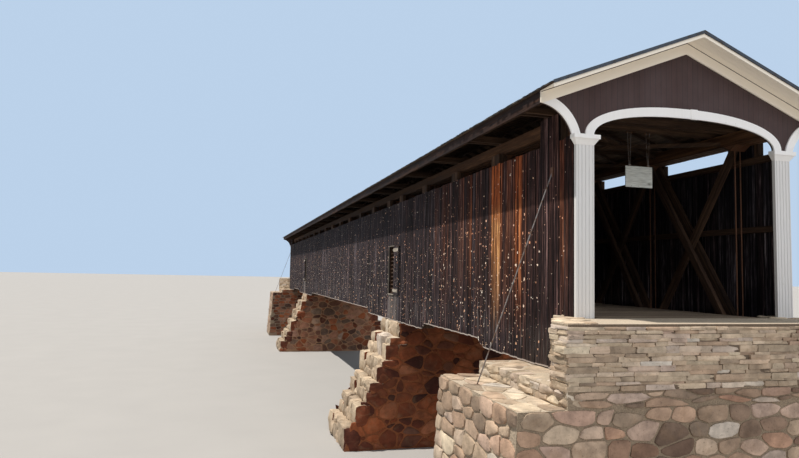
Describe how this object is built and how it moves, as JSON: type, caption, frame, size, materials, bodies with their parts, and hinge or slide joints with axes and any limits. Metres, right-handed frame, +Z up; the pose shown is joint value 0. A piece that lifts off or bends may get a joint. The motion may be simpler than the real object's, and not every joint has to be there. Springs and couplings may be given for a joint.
{
  "type": "covered timber truss bridge, 1:2 scale model",
  "caption": "Covered timber bridge with boarded side walls, hidden timber and iron trusses, arched and gabled portals, stone piers and abutments, and a board hung inside one portal.",
  "frame": {"origin": "middle of the bridge on the lowest ground, at the bottom centre of the whole part", "axes": "+Y along the bridge towards the far portal, +X across it to the right as seen from the near portal, +Z up"},
  "size_m": [5.7, 36.37, 7.0376],
  "materials": {
    "rubble_masonry": "rough rubble stone in lime mortar",
    "dark_siding": "dark weathered vertical boards",
    "old_timber": "rough sawn old timber",
    "deck_planks": "worn planks",
    "brown_paint": "flat brown paint on boards",
    "white_paint": "flat white paint on boards",
    "cream_paint": "flat cream paint on boards",
    "shingles": "weathered split shingles",
    "iron": "rusty iron",
    "steel_rod": "dull galvanised rod",
    "board_paint": "faded pale paint"
  },
  "bodies": {
    "root": {"near_abutment": "rubble_masonry", "far_abutment": "rubble_masonry", "near_wing_walls": "rubble_masonry", "far_wing_walls": "rubble_masonry", "near_pier": "rubble_masonry", "far_pier": "rubble_masonry", "bolsters": "old_timber", "left_lower_chord": "old_timber", "right_lower_chord": "old_timber", "left_upper_chord": "old_timber", "right_upper_chord": "old_timber", "left_braces": "old_timber", "right_braces": "old_timber", "truss_rods": "iron", "washer_plates": "iron", "angle_blocks": "iron", "floor_beams": "old_timber", "floor_joists": "old_timber", "deck": "deck_planks", "left_girts": "old_timber", "right_girts": "old_timber", "left_slot_blocks": "dark_siding", "right_slot_blocks": "dark_siding", "left_siding": "dark_siding", "right_siding": "dark_siding", "left_louvres": "old_timber", "right_louvres": "old_timber", "shutters": "dark_siding", "tie_beams": "old_timber", "lateral_braces": "old_timber", "left_rafters": "old_timber", "right_rafters": "old_timber", "ridge_board": "old_timber", "eave_plates": "old_timber", "eave_fascias": "dark_siding", "left_roof": "shingles", "right_roof": "shingles", "ridge_cap": "shingles", "near_facade": "brown_paint", "far_facade": "brown_paint", "pillars": "white_paint", "capitals": "white_paint", "arch_trims": "white_paint", "near_frieze": "cream_paint", "far_frieze": "cream_paint", "stays": "steel_rod", "board_hooks": "iron"},
    "board": {"board_hangers": "steel_rod", "hanging_board": "board_paint"}
  },
  "joints": [
    {"name": "board_swing", "type": "hinge", "parent": "root", "child": "board", "pos_m": [0, -16.4, 6.01], "axis": [1, 0, 0], "range_deg": [-25, 25]}
  ]
}
